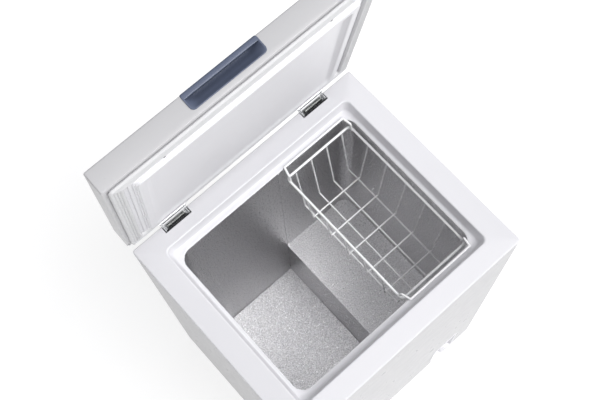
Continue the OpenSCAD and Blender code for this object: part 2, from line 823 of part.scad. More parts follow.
// Close-wound counterbalance spring, lying in the pocket in front of the pin: a ribbed sleeve.
module hinge_spring(s) {
    color([0.62, 0.64, 0.62]) at_hinge(s) translate([0, spring_at.x, spring_at.y])
        rotate([0, 90, 0]) rotate_extrude() for (k = [0:spring_turns - 1])
            translate([spring_r, (k - (spring_turns - 1) / 2) * (spring_wire - 0.05)])
                circle(d = spring_wire, $fn = 24);
}

module hinge_spring_left() { hinge_spring(-1); }
module hinge_spring_right() { hinge_spring(1); }

// Toothed guides that hold the springs against the pins.
module spring_guides() {
    teeth = 5;
    pitch = 9.6;
    color([0.10, 0.10, 0.11]) for (s = [-1, 1]) at_hinge(s) {
        block([-guide_w / 2, guide_y[0], -14], [guide_w / 2, guide_y[1], -10]);
        for (k = [0:teeth - 1])
            block([(k - (teeth - 1) / 2) * pitch - 3.4, guide_y[0], -11],
                  [(k - (teeth - 1) / 2) * pitch + 3.4, guide_y[1], -6]);
    }
}

module hinge_base_screws() {
    color([0.75, 0.76, 0.78]) placed() for (p = base_screws)
        translate([p.x, back + 2, p.y]) rotate([-90, 0, 0]) screw(3.6, 2, 1.7, 6);
}

arm_screws = [for (s = [-1, 1], x = [-18, 18], z = [14, 30]) [s * hinge_x + x, axis_z + z]];

module hinge_arm_screws() {
    color([0.75, 0.76, 0.78]) placed() opened() for (p = arm_screws)
        translate([p.x, lid_back + leaf_t, p.y]) rotate([-90, 0, 0]) screw(3.4, 1.8, 1.5, 9);
}

// ---- Lid, drawn closed and then opened ----

// Slab of the closed lid, set in from its sides by inset.x and from its front and back by inset.y.
module lid_slab(inset, r, z0, z1) {
    translate([0, lid_y, 0]) slab(body_w - 2 * inset.x, lid_d - 2 * inset.y, r, z0, z1);
}

module handle_pocket(grow) {
    block([handle_x - handle_w / 2 - grow, lid_front - 3, handle_z - handle_h / 2 - grow],
          [handle_x + handle_w / 2 + grow, lid_front + handle_depth + grow, lid_top + 3]);
}

module lid_skin() {
    color([0.93, 0.92, 0.94]) placed() opened() difference() {
        lid_slab([0, 0], lid_r, skirt_z - sheet, lid_top);
        lid_slab([sheet, sheet], lid_r - sheet, skirt_z, lid_top - sheet);
        lid_slab(hem, lid_r, skirt_z - 2, skirt_z + 1);
        handle_pocket(0);
        for (p = arm_screws) rod_y(p.x, p.y, lid_back - 2, lid_back + 1, 1.5);
        for (p = corner_plugs) translate([p.x, p.y, skirt_z - 3]) cylinder(r = 2 + fit, h = 3.5);
    }
}

// Solid between the liner's margin and its plug, grown inwards by t.
module plug_solid(t) {
    hull() {
        lid_slab(plug_foot + [t, t], 10, margin_z + 1.9, margin_z + 2, $fn = 32);
        lid_slab(plug_edge + [t, t], 10, plug_z + t, plug_z + t + 0.1, $fn = 32);
    }
}

module dish_solid(t) {
    hull() {
        lid_slab(dish_edge - [t, t], 8, plug_z - 1, plug_z, $fn = 32);
        lid_slab(dish_edge + [8 - t, 8 - t], 8, dish_z + t - 0.1, dish_z + t, $fn = 32);
    }
}

module lid_foam() {
    color([0.96, 0.90, 0.66]) placed() opened() difference() {
        union() {
            lid_slab([sheet, sheet], lid_r - sheet, skirt_z, lid_top - sheet);
            lid_slab(hem, lid_r, margin_z + 2, skirt_z + 1);
            plug_solid(2);
        }
        dish_solid(2);
        handle_pocket(0);
        for (p = arm_screws) rod_y(p.x, p.y, lid_back - 12, lid_back + 1, 1.5);
        for (p = liner_screws) translate([p.x, p.y, margin_z]) cylinder(r = 1.7, h = 12);
    }
}

module lid_liner() {
    color([0.94, 0.93, 0.96]) placed() opened() difference() {
        union() {
            lid_slab(hem, lid_r, margin_z, margin_z + 2);
            plug_solid(0);
        }
        difference() {
            plug_solid(2);
            dish_solid(2);
        }
        dish_solid(0);
        for (p = liner_screws) translate([p.x, p.y, margin_z - 1]) cylinder(r = 1.7, h = 5);
    }
}

module lid_gasket() {
    color([0.95, 0.95, 0.96]) placed() opened() difference() {
        lid_slab(seal_out, 6, rim_z + 0.4, margin_z);
        lid_slab(seal_in, 6, rim_z, margin_z + 1);
    }
}

module lid_handle() {
    y0 = lid_front - 1.5;
    scoop_r = 11;
    scoop_z = handle_z - handle_h / 2 + 3 + scoop_r;
    half = handle_w / 2 - 8;
    color([0.42, 0.46, 0.54]) placed() opened() difference() {
        translate([handle_x, lid_front + handle_depth, handle_z]) rotate([90, 0, 0])
            linear_extrude(handle_depth + 1.5) rounded(handle_w, handle_h, 7);
        rod_x(y0 + scoop_r, scoop_z, handle_x - half, handle_x + half, scoop_r);
        block([handle_x - half, y0 - 5, scoop_z - scoop_r],
              [handle_x + half, y0 + scoop_r, handle_z + handle_h / 2 - rail_h]);
    }
}

module lid_liner_screws() {
    color([0.35, 0.35, 0.37]) placed() opened() for (p = liner_screws)
        translate([p.x, p.y, margin_z]) rotate([180, 0, 0]) screw(2.5, 1.4, 1.6, 10);
}

// Snap-in plugs in the hem's rear corners.
module lid_corner_plugs() {
    color([0.70, 0.72, 0.74]) placed() opened() for (p = corner_plugs)
        translate([p.x, p.y, skirt_z - sheet]) rotate([180, 0, 0]) {
            cylinder(r1 = 4, r2 = 3.4, h = 1);
            translate([0, 0, -sheet]) cylinder(r = 2, h = sheet + 0.5);
        }
}

// ---- Basket ----

module rail_frame() {
    r = 8;
    for (k = [-1, 1]) {
        rod_x(k * basket_l / 2, 0, -basket_w / 2 + r, basket_w / 2 - r, frame_wire / 2);
        rod_y(k * basket_w / 2, 0, -basket_l / 2 + r, basket_l / 2 - r, frame_wire / 2);
    }
    for (c = [[1, 1, 0], [-1, 1, 90], [-1, -1, 180], [1, -1, 270]])
        translate([c.x * (basket_w / 2 - r), c.y * (basket_l / 2 - r), 0]) bend(r, frame_wire, c.z, 90);
}

// Hanger at the back: up from both sides of the frame, out over the ledge, and along it.
module hanger() {
    d = frame_wire - 0.5;
    r = 5;
    x = basket_w / 2 - 2;
    rise = bar_z - rail_z;
    for (k = [-1, 1]) {
        translate([k * x, riser_y, 0]) cylinder(d = d, h = rise - r);
        translate([k * x, riser_y + r, rise - r]) rotate([90, 0, 90]) bend(r, d, 90, 90);
        rod_y(k * x, rise, riser_y + r, bar_y - r, d / 2);
        translate([k * (x - r), bar_y - r, rise]) bend(r, d, k > 0 ? 0 : 90, 90);
    }
    rod_x(bar_y, rise, -x + r, x - r, d / 2);
}

module at_basket() {
    color([0.96, 0.96, 0.97]) placed() translate([basket_x, basket_y, rail_z]) children();
}

module basket_frame() {
    at_basket() {
        rail_frame();
        for (a = [0, 180]) rotate([0, 0, a]) hanger();
    }
}

// Mesh wire: down from the frame's inner side at one end, along, and up at the other.
module mesh_path(half, lean, low) {
    end = half - (frame_wire + mesh_wire) / 2 - 0.3;
    path([[-end, 0, 0], [-half + lean, 0, low], [half - lean, 0, low], [end, 0, 0]], mesh_wire);
}

module basket_long_wires() {
    at_basket() for (k = [0:3])
        translate([(k - 1.5) * long_pitch, 0, 0]) rotate([0, 0, 90])
            mesh_path(basket_l / 2, lean_y, floor_z - rail_z);
}

// The cross wires lie on the long ones.
module basket_cross_wires() {
    at_basket() for (k = [0:4])
        translate([0, (k - 2) * cross_pitch, 0])
            mesh_path(basket_w / 2, lean_x, floor_z - rail_z + mesh_wire + 0.3 + weld_gap);
}

// ---- Nodes ----

cabinet_shell();
rear_panel();
base_plate();
compressor_bay_panel();
cabinet_foam();
tub_walls();
tub_base();
rim_collar();
evaporator_coil();
condenser_coil();
compressor();
compressor_bracket();
compressor_grommets();
compressor_bolts();
relay_box();
filter_drier();
discharge_tube();
suction_tube();
capillary_tube();
thermostat();
sensor_bulb();
control_panel();
power_lamp();
run_lamp();
alarm_lamp();
thermostat_knob();
thermostat_shaft();
side_grille();
rear_cover();
rear_cover_screws();
cord_gland();
wiring_harness();
drain_tube();
drain_plug();
drain_cap();
feet();
feet_screws();
hinge_base_left();
hinge_base_right();
hinge_arm_left();
hinge_arm_right();
hinge_pin_left();
hinge_pin_right();
hinge_spring_left();
hinge_spring_right();
spring_guides();
hinge_base_screws();
hinge_arm_screws();
lid_skin();
lid_foam();
lid_liner();
lid_gasket();
lid_handle();
lid_liner_screws();
lid_corner_plugs();
basket_frame();
basket_long_wires();
basket_cross_wires();
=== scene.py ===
"""Looks of a small chest freezer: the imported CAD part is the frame, detailed pieces go around it."""

import json
import math

import bmesh
import bpy
from mathutils import Matrix, Vector


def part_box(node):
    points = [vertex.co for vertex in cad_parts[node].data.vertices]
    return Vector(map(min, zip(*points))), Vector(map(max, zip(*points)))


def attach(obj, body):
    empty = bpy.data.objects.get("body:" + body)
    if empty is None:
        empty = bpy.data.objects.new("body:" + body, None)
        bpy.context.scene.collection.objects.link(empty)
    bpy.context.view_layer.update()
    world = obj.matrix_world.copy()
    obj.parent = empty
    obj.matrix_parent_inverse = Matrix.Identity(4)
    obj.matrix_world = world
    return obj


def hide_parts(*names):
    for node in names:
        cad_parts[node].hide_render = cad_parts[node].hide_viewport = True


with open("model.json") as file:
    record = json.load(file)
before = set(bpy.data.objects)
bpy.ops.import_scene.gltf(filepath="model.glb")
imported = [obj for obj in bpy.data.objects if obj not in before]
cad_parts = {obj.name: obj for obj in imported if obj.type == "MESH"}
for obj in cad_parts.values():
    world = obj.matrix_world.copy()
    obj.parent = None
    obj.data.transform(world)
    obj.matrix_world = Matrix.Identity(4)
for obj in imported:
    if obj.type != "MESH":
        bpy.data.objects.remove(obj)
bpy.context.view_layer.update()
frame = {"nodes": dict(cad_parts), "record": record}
nodes = frame["nodes"]

# ---- Sizes, in millimetres around the middle of the cabinet (x right, y back, z up) ----

MM = 0.001


def span(node, axis):
    """The middle and the length of a node's box along an axis, in millimetres of the part's frame."""
    low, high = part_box(node)
    return (low[axis] + high[axis]) / 2 / MM, (high[axis] - low[axis]) / MM


rim_low, rim_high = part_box("rim_collar")
MID_Y = (rim_low[1] + rim_high[1]) / 2
W = (rim_high[0] - rim_low[0]) / MM
D = (rim_high[1] - rim_low[1]) / MM
RIM = rim_high[2] / MM
FRONT, BACK = -D / 2, D / 2
LEDGE = RIM - 22

TUB_W, TUB_D, TUB_R, TUB_SHEET = 426, 344, 24, 0.8
TUB_FLOOR, STEP_X, STEP_Z = 95, 30, 300
DRAIN, DRAIN_R = (-120, -125), 8

LID_BACK = BACK - 2
LID_D = LID_BACK - FRONT
LID_Y = (LID_BACK + FRONT) / 2
LID_TOP = RIM + 50

HANDLE_X, HANDLE_W = span("lid_handle", 0)
HANDLE_H, HANDLE_DEPTH = 32, 22
HANDLE_Z = LID_TOP - HANDLE_H / 2 + 1

HINGE_X, HINGE_W = span("hinge_base_right", 0)
NOTCH_W, NOTCH_D, NOTCH_H = HINGE_W + 4, 16, 15

BASKET = (span("basket_frame", 0)[0], span("basket_frame", 1)[0] - MID_Y / MM)
BASKET_W, BASKET_L = 163, 322
BASKET_RAIL, BASKET_FLOOR = RIM - 43, RIM - 205

PANEL_X, PANEL_W = span("control_panel", 0)
PANEL_Z, PANEL_H = span("control_panel", 2)
PANEL_DEPTH = 10
KNOB_R = 13
KNOB_Z = PANEL_Z - 8

hinge = next(j for j in frame["record"]["behaviour"]["joints"] if j["name"] == "lid_hinge")
AXIS_Y = (hinge["pos_m"][1] - MID_Y) / MM
AXIS_Z = hinge["pos_m"][2] / MM
OPEN = math.radians(hinge["range_deg"][1])
SPRING_Y = span("hinge_spring_right", 1)[0] - MID_Y / MM
SPRING_Z = span("hinge_spring_right", 2)[0]
CORNER = 6


def at_cabinet(p):
    """A cabinet point in millimetres to metres in the part's frame."""
    return Vector((p[0] * MM, p[1] * MM + MID_Y, p[2] * MM))


def at_open_lid(p):
    """The same for a point of the closed lid, swung up about the hinge."""
    y, z = p[1] - AXIS_Y, p[2] - AXIS_Z
    c, s = math.cos(OPEN), math.sin(OPEN)
    return at_cabinet((p[0], AXIS_Y + y * c + z * s, AXIS_Z - y * s + z * c))


# ---- Shapes ----


class Shape:
    """A mesh being built: vertices in millimetres, and faces."""

    def __init__(self):
        self.verts, self.faces = [], []

    def add(self, verts, faces):
        """Adds vertices, and faces that count from the first of them."""
        start = len(self.verts)
        self.verts += [tuple(v) for v in verts]
        self.faces += [[start + i for i in f] for f in faces]
        return self

    def loft(self, rings, cap_start=False, cap_end=False, closed=False):
        """Joins rings of equally many points, one after the other."""
        n = len(rings[0])
        faces = []
        pairs = list(zip(range(len(rings) - 1), range(1, len(rings))))
        if closed:
            pairs.append((len(rings) - 1, 0))
        for a, b in pairs:
            for i in range(n):
                j = (i + 1) % n
                faces.append([a * n + i, a * n + j, b * n + j, b * n + i])
        if cap_start:
            faces.append(list(range(n))[::-1])
        if cap_end:
            faces.append([(len(rings) - 1) * n + i for i in range(n)])
        return self.add([p for ring in rings for p in ring], faces)

    def tube(self, points, radius, sides=12, closed=False):
        """A round wire along a line of points."""
        pts = [Vector(p) for p in points]
        n = len(pts)
        side = None
        rings = []
        for i, p in enumerate(pts):
            before = pts[i - 1] if closed or i > 0 else p
            after = pts[(i + 1) % n] if closed or i < n - 1 else p
            along = (after - before).normalized()
            if side is None:
                side = along.cross((0, 0, 1) if abs(along.z) < 0.9 else (1, 0, 0)).normalized()
            side = (side - along * side.dot(along)).normalized()
            up = along.cross(side)
            angles = [2 * math.pi * k / sides for k in range(sides)]
            rings.append([p + (side * math.cos(a) + up * math.sin(a)) * radius for a in angles])
        return self.loft(rings, cap_start=not closed, cap_end=not closed, closed=closed)

    def block(self, low, high):
        """A box, to be bevelled later."""
        ring = [(low[0], low[1]), (high[0], low[1]), (high[0], high[1]), (low[0], high[1])]
        return self.loft([[(x, y, z) for x, y in ring] for z in (low[2], high[2])], True, True)

    def turned(self, profile, sides=32, place=lambda x, y, z: (x, y, z)):
        """A solid of revolution: profile is (radius, height) from the bottom to the top."""
        rings = []
        for r, h in profile:
            angles = [2 * math.pi * k / sides for k in range(sides)]
            rings.append([place(r * math.cos(a), r * math.sin(a), h) for a in angles])
        return self.loft(rings, True, True)


def rounded(w, d, r, cx=0.0, cy=0.0, steps=8):
    """Points round a rectangle with round corners, anticlockwise."""
    points = []
    for sx, sy, start in ((1, 1, 0), (-1, 1, 90), (-1, -1, 180), (1, -1, 270)):
        for k in range(steps + 1):
            a = math.radians(start + 90 * k / steps)
            points.append((cx + sx * (w / 2 - r) + r * math.cos(a), cy + sy * (d / 2 - r) + r * math.sin(a)))
    return points


def level_ring(half_x, half_y, r, z, cy=0.0):
    """A level rounded rectangle at height z."""
    return [(x, y, z) for x, y in rounded(2 * half_x, 2 * half_y, r, 0, cy)]


def lid_ring(inset_x, inset_y, r, z):
    """A level ring of the closed lid, set in from its edges. z may be a function of y."""
    ring = rounded(W - 2 * inset_x, LID_D - 2 * inset_y, r, 0, LID_Y)
    return [(x, y, z(y) if callable(z) else z) for x, y in ring]


def filleted(points, radius, steps=6):
    """A line of points with its inner corners rounded."""
    pts = [Vector(p) for p in points]
    out = [pts[0]]
    for a, b, c in zip(pts, pts[1:], pts[2:]):
        u, v = (a - b).normalized(), (c - b).normalized()
        half = u.angle(v) / 2
        reach = min(radius / math.tan(half), (a - b).length * 0.45, (c - b).length * 0.45)
        r = reach * math.tan(half)
        centre = b + (u + v).normalized() * (r / math.sin(half))
        start, end = b + u * reach - centre, b + v * reach - centre
        for k in range(steps + 1):
            out.append(centre + start.slerp(end, k / steps))
    return out + [pts[-1]]


def link(obj):
    """Puts an object in the scene."""
    bpy.context.scene.collection.objects.link(obj)
    return obj


def piece(name, shape, mat, body, place=at_cabinet, angle=35, replaces=()):
    """Makes the object, shades it smooth up to an angle, and ties it to a body of the part."""
    mesh = bpy.data.meshes.new(name)
    mesh.from_pydata([place(v) for v in shape.verts], [], shape.faces)
    bm = bmesh.new()
    bm.from_mesh(mesh)
    bmesh.ops.remove_doubles(bm, verts=bm.verts, dist=1e-6)
    bmesh.ops.recalc_face_normals(bm, faces=bm.faces)
    bm.to_mesh(mesh)
    bm.free()
    mesh.polygons.foreach_set("use_smooth", [True] * len(mesh.polygons))
    mesh.set_sharp_from_angle(angle=math.radians(angle))
    mesh.materials.append(mat)
    obj = link(bpy.data.objects.new(name, mesh))
    if body:
        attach(obj, body)
    if replaces:
        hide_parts(*replaces)
    return obj


def bevel(obj, width, segments=3, angle=40):
    """Rounds an object's sharp edges by a width in millimetres."""
    mod = obj.modifiers.new("round", "BEVEL")
    mod.width = width * MM
    mod.segments = segments
    mod.limit_method = "ANGLE"
    mod.angle_limit = math.radians(angle)
    return obj


def settle(obj, angle=35):
    """Makes an object's modifiers part of its mesh."""
    graph = bpy.context.evaluated_depsgraph_get()
    graph.update()
    mesh = bpy.data.meshes.new_from_object(obj.evaluated_get(graph))
    obj.modifiers.clear()
    obj.data = mesh
    mesh.polygons.foreach_set("use_smooth", [True] * len(mesh.polygons))
    mesh.set_sharp_from_angle(angle=math.radians(angle))
    return obj


def cut(obj, shape, place=at_cabinet, angle=35):
    """Cuts a shape out of an object."""
    cutter = piece("cutter", shape, obj.data.materials[0], None, place)
    mod = obj.modifiers.new("cut", "BOOLEAN")
    mod.operation = "DIFFERENCE"
    mod.solver = "EXACT"
    mod.object = cutter
    bpy.context.view_layer.update()
    settle(obj, angle)
    bpy.data.objects.remove(cutter, do_unlink=True)
    return obj


# ---- Materials ----


class Finish:
    """A procedural material: a shader with mottled colour, uneven gloss and a fine relief."""

    def __init__(self, name, colour, roughness, metallic=0.0):
        self.mat = bpy.data.materials.new(name)
        self.mat.use_nodes = True
        self.tree = self.mat.node_tree
        self.shader = self.tree.nodes["Principled BSDF"]
        self.colour = colour
        self.shader.inputs["Metallic"].default_value = metallic
        self.shader.inputs["Roughness"].default_value = roughness
        self.roughness = roughness
        self.height = None
        coords = self.tree.nodes.new("ShaderNodeTexCoord")
        self.coords = coords.outputs["Object"]

    def node(self, kind, **values):
        """A shader node, with its settings or input values given by name."""
        made = self.tree.nodes.new(kind)
        for key, value in values.items():
            if hasattr(made, key):
                setattr(made, key, value)
            else:
                made.inputs[key.replace("_", " ").title()].default_value = value
        return made

    def wire(self, output, target):
        """Joins a node's output to an input."""
        self.tree.links.new(output, target)

    def noise(self, scale, detail=3.0, stretch=None, roughness=0.5):
        """Noise in the part's own space: scale is in features per metre."""
        made = self.node("ShaderNodeTexNoise", Scale=scale, Detail=detail, Roughness=roughness)
        source = self.coords
        if stretch:
            mapping = self.node("ShaderNodeMapping")
            mapping.inputs["Scale"].default_value = stretch
            self.wire(self.coords, mapping.inputs["Vector"])
            source = mapping.outputs["Vector"]
        self.wire(source, made.inputs["Vector"])
        return made.outputs["Fac"]

    def spread(self, value, low, high, start=0.3, end=0.7):
        """Maps a value's middle range to low..high."""
        made = self.node("ShaderNodeMapRange")
        made.inputs["From Min"].default_value = start
        made.inputs["From Max"].default_value = end
        made.inputs["To Min"].default_value = low
        made.inputs["To Max"].default_value = high
        self.wire(value, made.inputs["Value"])
        return made.outputs["Result"]

    def mottle(self, scale, amount, tint=None):
        """Colour that drifts a little between the base colour and a tinted one."""
        mix = self.node("ShaderNodeMix", data_type="RGBA")
        low = tint or [c * (1 - amount) for c in self.colour]
        for socket, value in ((6, self.colour), (7, low)):
            mix.inputs[socket].default_value = (*value, 1)
        self.wire(self.spread(self.noise(scale, 4), 0, 1), mix.inputs[0])
        self.base = mix.outputs[2]
        self.wire(self.base, self.shader.inputs["Base Color"])
        return self

    def painted_crevice_shade(self, distance, amount):
        """Painted shade: the colour is darkened in grooves and corners, where ambient occlusion finds nearby
        surfaces.
        """
        shade = self.node("ShaderNodeAmbientOcclusion", samples=8)
        shade.inputs["Distance"].default_value = distance
        mix = self.node("ShaderNodeMix", data_type="RGBA", blend_type="MULTIPLY")
        mix.inputs[0].default_value = 1.0
        grey = self.node("ShaderNodeCombineColor")
        level = self.spread(shade.outputs["AO"], 1 - amount, 1.0, 0.2, 0.8)
        for channel in ("Red", "Green", "Blue"):
            self.wire(level, grey.inputs[channel])
        self.wire(self.base, mix.inputs[6])
        self.wire(grey.outputs["Color"], mix.inputs[7])
        self.base = mix.outputs[2]
        self.wire(self.base, self.shader.inputs["Base Color"])
        return self

    def uneven_gloss(self, scale, amount, stretch=None):
        """Roughness that drifts up and down by an amount."""
        value = self.noise(scale, 4, stretch)
        low, high = self.roughness - amount, self.roughness + amount
        self.wire(self.spread(value, max(low, 0.02), high), self.shader.inputs["Roughness"])
        return self

    def relief(self, value, depth, strength=1.0):
        """Adds a bump: depth is in millimetres."""
        made = self.node("ShaderNodeBump")
        made.inputs["Strength"].default_value = strength
        made.inputs["Distance"].default_value = depth * MM
        self.wire(value, made.inputs["Height"])
        if self.height is not None:
            self.wire(self.height, made.inputs["Normal"])
        self.height = made.outputs["Normal"]
        self.wire(self.height, self.shader.inputs["Normal"])
        return self

    def coat(self, weight, roughness=0.08):
        """A clear glossy layer on top."""
        self.shader.inputs["Coat Weight"].default_value = weight
        self.shader.inputs["Coat Roughness"].default_value = roughness
        return self


def white_paint(name="white_paint", colour=(0.50, 0.496, 0.507)):
    """Smooth stove paint on sheet steel."""
    f = Finish(name, colour, 0.32)
    f.mottle(3.0, 0.012).uneven_gloss(40, 0.05)
    return f.relief(f.noise(70, 2), 0.03, 0.2).mat


def rim_plastic():
    """Semi-gloss moulded white, with painted shade darkening its grooves."""
    f = Finish("rim_plastic", (0.76, 0.755, 0.78), 0.34)
    f.mottle(6.0, 0.015).painted_crevice_shade(0.012, 0.22).uneven_gloss(60, 0.06)
    return f.relief(f.noise(90, 2), 0.02, 0.2).mat


def liner_plastic():
    """Vacuum-formed white sheet, with a slight waviness."""
    f = Finish("liner_plastic", (0.82, 0.815, 0.84), 0.42)
    # The occlusion darkening here is painted shade, faint in the lining's corners and steps.
    f.mottle(5.0, 0.012).painted_crevice_shade(0.012, 0.10).uneven_gloss(30, 0.05)
    return f.relief(f.noise(60, 2), 0.03, 0.2).mat


def seal_vinyl():
    """Soft matt vinyl, with painted shade darkening it between its ribs."""
    f = Finish("seal_vinyl", (0.70, 0.70, 0.71), 0.50)
    f.mottle(25.0, 0.03).painted_crevice_shade(0.004, 0.35).uneven_gloss(120, 0.08)
    return f.relief(f.noise(1800, 2), 0.03, 0.4).mat


def stucco_metal():
    """Bare sheet with a pressed stucco pattern a few millimetres across: bright flats, and grooves darkened
    in the colour as painted shade.
    """
    f = Finish("stucco_metal", (0.79, 0.785, 0.795), 0.31, metallic=1.0)
    grain = f.noise(460, 1.5)
    # The darker colour in the grooves is painted shade, following the same grain as the bump.
    mix = f.node("ShaderNodeMix", data_type="RGBA")
    mix.inputs[6].default_value = (0.46, 0.455, 0.465, 1)
    mix.inputs[7].default_value = (*f.colour, 1)
    f.wire(f.spread(grain, 0, 1, 0.36, 0.60), mix.inputs[0])
    f.wire(mix.outputs[2], f.shader.inputs["Base Color"])
    f.uneven_gloss(220, 0.07)
    f.relief(f.spread(grain, 0.0, 1.0, 0.36, 0.60), 0.35, 0.7)
    return f.relief(f.noise(12, 2), 0.9, 0.25).mat


def slate_plastic():
    """Moulded blue-grey plastic with a fine texture."""
    f = Finish("slate_plastic", (0.128, 0.153, 0.226), 0.36)
    # The strong occlusion darkening is painted shade under the handle's rail and in its scoop.
    f.mottle(20.0, 0.15).painted_crevice_shade(0.014, 0.6).uneven_gloss(90, 0.05)
    return f.relief(f.noise(2200, 2), 0.03, 0.5).mat


def dipped_wire():
    """Plastic-dipped wire: white, glossy and slightly lumpy."""
    f = Finish("dipped_wire", (0.93, 0.93, 0.935), 0.26)
    f.mottle(30.0, 0.03).uneven_gloss(70, 0.06).coat(0.3)
    return f.relief(f.noise(260, 2), 0.10, 0.3).mat


def zinc(name="zinc_plate", colour=(0.62, 0.63, 0.64), roughness=0.30):
    """Zinc-plated steel, mottled and drawn along one direction."""
    f = Finish(name, colour, roughness, metallic=1.0)
    f.mottle(60.0, 0.14).uneven_gloss(150, 0.08, (1, 6, 1))
    return f.relief(f.noise(900, 3, (1, 5, 1)), 0.02, 0.4).mat


def copper():
    """Drawn copper tube with darker tarnish."""
    f = Finish("copper", (0.66, 0.33, 0.19), 0.30, metallic=1.0)
    f.mottle(35.0, 0.3, (0.36, 0.17, 0.10)).uneven_gloss(90, 0.08)
    return f.relief(f.noise(700, 2), 0.02, 0.3).mat


def black_paint():
    """Semi-gloss black paint on the compressor and its parts."""
    f = Finish("black_paint", (0.018, 0.018, 0.020), 0.38)
    f.mottle(40.0, 0.25).uneven_gloss(70, 0.08)
    return f.relief(f.noise(800, 2), 0.05, 0.4).mat


def dark_plastic():
    """Nearly black moulded plastic and rubber."""
    f = Finish("dark_plastic", (0.030, 0.030, 0.033), 0.50)
    f.mottle(50.0, 0.2).uneven_gloss(100, 0.06)
    return f.relief(f.noise(1800, 2), 0.04, 0.5).mat


def foam():
    """Rigid yellow insulating foam with a rough, cellular surface."""
    f = Finish("foam", (0.80, 0.70, 0.42), 0.85)
    f.mottle(18.0, 0.12, (0.66, 0.54, 0.28)).uneven_gloss(60, 0.05)
    return f.relief(f.noise(420, 5), 0.8, 0.8).mat


def lamp_lens(name, colour):
    """A small clear tinted lens."""
    f = Finish(name, colour, 0.18)
    f.mottle(200.0, 0.2).uneven_gloss(300, 0.05).coat(0.6)
    f.shader.inputs["Subsurface Weight"].default_value = 0.2
    return f.relief(f.noise(900, 2), 0.02, 0.2).mat


def mark_ink():
    """Dark grey printing ink."""
    f = Finish("mark_ink", (0.20, 0.21, 0.23), 0.55)
    f.mottle(300.0, 0.1).uneven_gloss(300, 0.05)
    return f.relief(f.noise(3000, 2), 0.01, 0.3).mat


WHITE, RIM_WHITE, LINER, SEAL = white_paint(), rim_plastic(), liner_plastic(), seal_vinyl()
# Painted light: the lid gets a lighter copy of the cabinet's white paint, brightened for how light falls on
# the lid; the cabinet's darker copy is the shaded one.
LID_WHITE_LIT = white_paint("lid_paint_lit_copy", (0.56, 0.556, 0.567))
STUCCO, SLATE, WIRE, ZINC = stucco_metal(), slate_plastic(), dipped_wire(), zinc()
STEEL = zinc("bright_steel", (0.80, 0.81, 0.82), 0.38)
SPRING = zinc("spring_steel", (0.42, 0.43, 0.42), 0.34)
COPPER, BLACK, DARK, FOAM, INK = copper(), black_paint(), dark_plastic(), foam(), mark_ink()
GREEN = lamp_lens("lens_green", (0.03, 0.42, 0.10))
AMBER = lamp_lens("lens_amber", (0.80, 0.38, 0.03))
RED = lamp_lens("lens_red", (0.62, 0.03, 0.02))

CARRIED = {
    WHITE: ["cabinet_shell", "rear_panel"],
    RIM_WHITE: ["side_grille", "drain_tube", "drain_cap"],
    ZINC: ["base_plate", "compressor_bay_panel", "rear_cover", "thermostat"],
    STEEL: [
        "hinge_base_left", "hinge_base_right", "hinge_arm_left", "hinge_arm_right",
        "hinge_pin_left", "hinge_pin_right", "compressor_bolts", "sensor_bulb",
        "thermostat_shaft", "feet_screws", "hinge_base_screws", "hinge_arm_screws",
        "rear_cover_screws", "lid_corner_plugs",
    ],
    FOAM: ["cabinet_foam"],
    COPPER: ["evaporator_coil", "filter_drier", "discharge_tube", "suction_tube", "capillary_tube"],
    BLACK: ["condenser_coil", "compressor", "compressor_bracket"],
    DARK: ["compressor_grommets", "relay_box", "cord_gland", "wiring_harness", "feet",
           "spring_guides"],
    SLATE: ["drain_plug"],
    GREEN: ["power_lamp"],
    AMBER: ["run_lamp"],
    RED: ["alarm_lamp"],
}


def dress_carried_nodes():
    """Gives the CAD nodes that stay in view their materials, with soft edges on the sheet metal."""
    for mat, names in CARRIED.items():
        for name in names:
            node = nodes[name]
            for item in node.material_slots:
                item.material = mat
    for name in ("hinge_base_left", "hinge_base_right", "hinge_arm_left", "hinge_arm_right"):
        mod = nodes[name].modifiers.new("round", "BEVEL")
        mod.width = 0.35 * MM
        mod.segments = 2
        mod.limit_method = "ANGLE"


# ---- Cabinet ----


